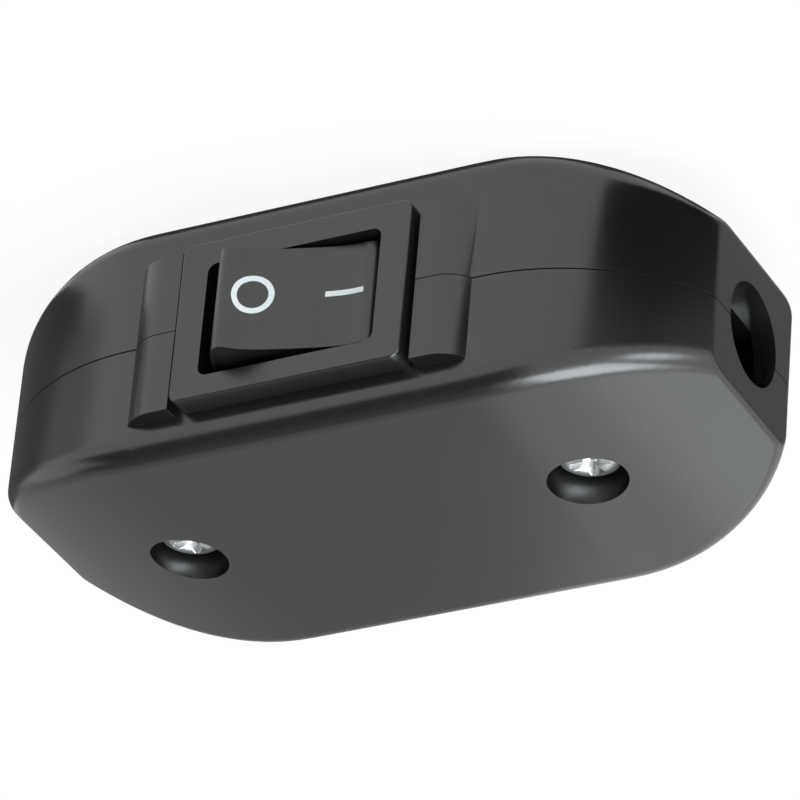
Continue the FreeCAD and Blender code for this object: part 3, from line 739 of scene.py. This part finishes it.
@dataclass
class Studio:
    """White floor, white surroundings, soft lamps, cards and the camera.

    Attributes:
        eye: where the camera stands, in metres.
        right: the picture's right.
        up: the picture's top.
        lens: focal length in millimetres on a 36 mm frame.
        sensor: width of that frame.
        near: where the camera starts to see, in metres.
        far: where it stops.
        half_floor: half of the floor's side.
        floor_drop: how far the floor lies below the object and the cards.
        paper: how pale the floor is.
        paper_roughness: the floor's roughness.
        paper_glow: how much of the floor's look is plain white.
        room_light: how bright the surroundings are as light on the object.
        room_white: how bright they look.
        softboxes: the lamps.
        cards: the flags, and one card of painted contact shadow under the object.
    """

    eye: tuple[float, float, float] = (-0.212618, -0.370985, 0.272343)
    right: tuple[float, float, float] = (-0.887335, 0.455025, -0.074759)
    up: tuple[float, float, float] = (-0.182101, -0.494724, -0.849757)
    lens: float = 271.988
    sensor: float = 36.0
    near: float = 0.01
    far: float = 50.0
    half_floor: float = 4.0
    floor_drop: float = 0.02 * MM
    paper: float = 0.9
    paper_roughness: float = 0.9
    paper_glow: float = 0.92
    room_light: float = 0.6
    room_white: float = 1.0
    softboxes: list[Softbox] = field(default_factory=lambda: [
        Softbox("back_softbox", (-0.16, 0.62, 0.52), size=0.42, radiance=0.8),
        Softbox("top_softbox", (-0.26, 0.0, 0.68), size=0.50, radiance=5.6),
        Softbox("side_softbox", (-0.70, -0.188, 0.338), size=0.28, radiance=5.6),
    ])
    cards: list[Card] = field(default_factory=lambda: [
        Card("corner_flag", [(-0.0285, -0.019, 0), (-0.035, -0.034, 0), (-0.054, -0.030, 0),
                             (-0.054, -0.006, 0), (-0.034, -0.006, 0)], 0.0),
        Card("corner_far_flag", [(-0.035, -0.034, 0), (-0.046, -0.070, 0), (-0.100, -0.070, 0),
                                 (-0.100, -0.006, 0), (-0.054, -0.006, 0), (-0.054, -0.030, 0)], 0.28),
        Card("end_flag", [(-0.034, -0.006, 0), (-0.120, -0.006, 0), (-0.120, 0.120, 0), (-0.034, 0.120, 0)],
             0.28),
        Card("left_flag", [(0.027, -0.0225, 0), (0.043, -0.0335, 0), (0.120, -0.080, 0), (0.120, -0.024, 0),
                           (0.060, -0.017, 0), (0.043, -0.018, 0), (0.034, -0.021, 0)], 0.48),
        Card("left_far_flag", [(0.028, -0.019, 0), (0.034, -0.021, 0), (0.043, -0.018, 0), (0.060, -0.017, 0),
                               (0.120, -0.024, 0), (0.240, -0.038, 0), (0.240, 0.127, 0), (0.034, 0.012, 0)],
             0.15),
        # A dark card under the footprint: painted contact shadow, which the base's lower edges reflect
        # instead of the white floor.
        Card("contact_shadow_card", [(-0.016, -0.0165, 0), (0.016, -0.0165, 0), (0.0256, -0.0139, 0),
                           (0.0325, -0.007, 0), (0.0325, 0.007, 0), (0.0256, 0.0139, 0), (0.016, 0.0165, 0),
                           (-0.016, 0.0165, 0), (-0.0256, 0.0139, 0), (-0.0325, 0.007, 0),
                           (-0.0325, -0.007, 0), (-0.0256, -0.0139, 0)], 0.1),
        Card("back_card", [(0.035, 0.1, 0), (0.400, 0.1, 0), (0.400, 0.1, 0.4), (0.035, 0.1, 0.4)], 0.50),
        Card("top_flag", [(0.16, -0.4, 1.2), (1.5, -0.3, 1.2), (1.6, 0.65, 1.0), (0.22, 0.65, 1.0)], 0.20),
        Card("front_flag", [(-0.1, -0.9, 0.35), (1.0, -0.5, 0.35), (0.9, -0.3, 1.2), (-0.1, -0.4, 1.2)],
             0.12),
    ])

    def build(self) -> None:
        """Make the whole studio."""
        scene = bpy.context.scene
        scene.view_settings.view_transform = "Standard"
        self._surroundings(scene)
        self._floor()
        for item in (*self.softboxes, *self.cards):
            item.build()
        self._camera(scene)

    def _surroundings(self, scene: bpy.types.Scene) -> None:
        """Make the world: white to the eye, a plain level of light on the object.

        Args:
            scene: the scene to light.
        """
        world = bpy.data.worlds.new("white_room")
        world.use_nodes = True
        nodes, links = world.node_tree.nodes, world.node_tree.links
        ground = nodes["Background"]
        ground.inputs["Color"].default_value = (1.0, 1.0, 1.0, 1.0)
        level = nodes.new("ShaderNodeMapRange")
        level.inputs["To Min"].default_value = self.room_light
        level.inputs["To Max"].default_value = self.room_white
        links.new(seen_rays(world.node_tree), level.inputs["Value"])
        links.new(level.outputs["Result"], ground.inputs["Strength"])
        scene.world = world

    def _floor(self) -> None:
        """Make the white floor that the object rests on."""
        shape = bmesh.new()
        bmesh.ops.create_grid(shape, x_segments=1, y_segments=1, size=self.half_floor)
        mesh = bpy.data.meshes.new("white_floor")
        shape.to_mesh(mesh)
        shape.free()
        paper = bpy.data.materials.new("white_paper")
        paper.use_nodes = True
        nodes, links = paper.node_tree.nodes, paper.node_tree.links
        shader = nodes["Principled BSDF"]
        shader.inputs["Base Color"].default_value = (self.paper, self.paper, self.paper, 1.0)
        shader.inputs["Roughness"].default_value = self.paper_roughness
        glow, blend, share = (nodes.new("ShaderNodeEmission"), nodes.new("ShaderNodeMixShader"),
                              nodes.new("ShaderNodeMath"))
        share.operation = "MULTIPLY"
        share.inputs[1].default_value = self.paper_glow
        links.new(seen_rays(paper.node_tree), share.inputs[0])
        links.new(share.outputs[0], blend.inputs["Fac"])
        links.new(shader.outputs["BSDF"], blend.inputs[1])
        links.new(glow.outputs["Emission"], blend.inputs[2])
        links.new(blend.outputs["Shader"], nodes["Material Output"].inputs["Surface"])
        mesh.materials.append(paper)
        floor = bpy.data.objects.new("white_floor", mesh)
        floor.location.z = -self.floor_drop
        bpy.context.scene.collection.objects.link(floor)

    def _camera(self, scene: bpy.types.Scene) -> None:
        """Place the camera where the picture was taken from.

        Args:
            scene: the scene that looks through it.
        """
        lens = bpy.data.cameras.new("camera")
        lens.lens = self.lens
        lens.sensor_width = self.sensor
        lens.clip_start = self.near
        lens.clip_end = self.far
        eye = bpy.data.objects.new("camera", lens)
        right, up = Vector(self.right), Vector(self.up)
        axes = Matrix((right, up, right.cross(up))).transposed()
        eye.matrix_world = Matrix.Translation(self.eye) @ axes.to_4x4()
        scene.collection.objects.link(eye)
        scene.camera = eye


SMOOTH_NODES = (
    BaseNode("base_half", Slot.HOUSING, Body.HOUSING, soften=HALF_EASE),
    SmoothNode("cover_half", Slot.HOUSING, Body.HOUSING, soften=HALF_EASE),
    FrameNode("switch_frame", Slot.SWITCH, Body.HOUSING),
    RockerNode("rocker", Slot.ROCKER, Body.ROCKER),
    SmoothNode("housing_screws", Slot.STEEL, Body.HOUSING, soften=0.0),
    SpringNode("plunger_spring", Slot.STEEL, Body.ROCKER, soften=0.0),
)


def dress_plain_nodes(frame: dict, shown: set[str]) -> None:
    """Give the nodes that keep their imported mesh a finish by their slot.

    Args:
        frame: what the frame loader returned.
        shown: names of the nodes that a copy stands for.
    """
    for entry in frame["record"]["subparts"]:
        if entry["node"] in shown:
            continue
        mesh = frame["nodes"][entry["node"]].data
        mesh.materials.clear()
        mesh.materials.append(FINISHES[entry["material_slot"]].material())
        LOG.info("%s keeps its packed mesh", entry["node"])


def main() -> None:
    """Build the dressed switch and its studio."""
    logging.basicConfig(level=logging.INFO, format="%(message)s")
    bpy.ops.wm.read_factory_settings(use_empty=True)
    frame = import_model()
    for piece in SMOOTH_NODES:
        piece.build(frame["nodes"][piece.node])
    dress_plain_nodes(frame, {piece.node for piece in SMOOTH_NODES})
    RockerLegends().build()
    Studio().build()


if __name__ == "__main__":
    main()
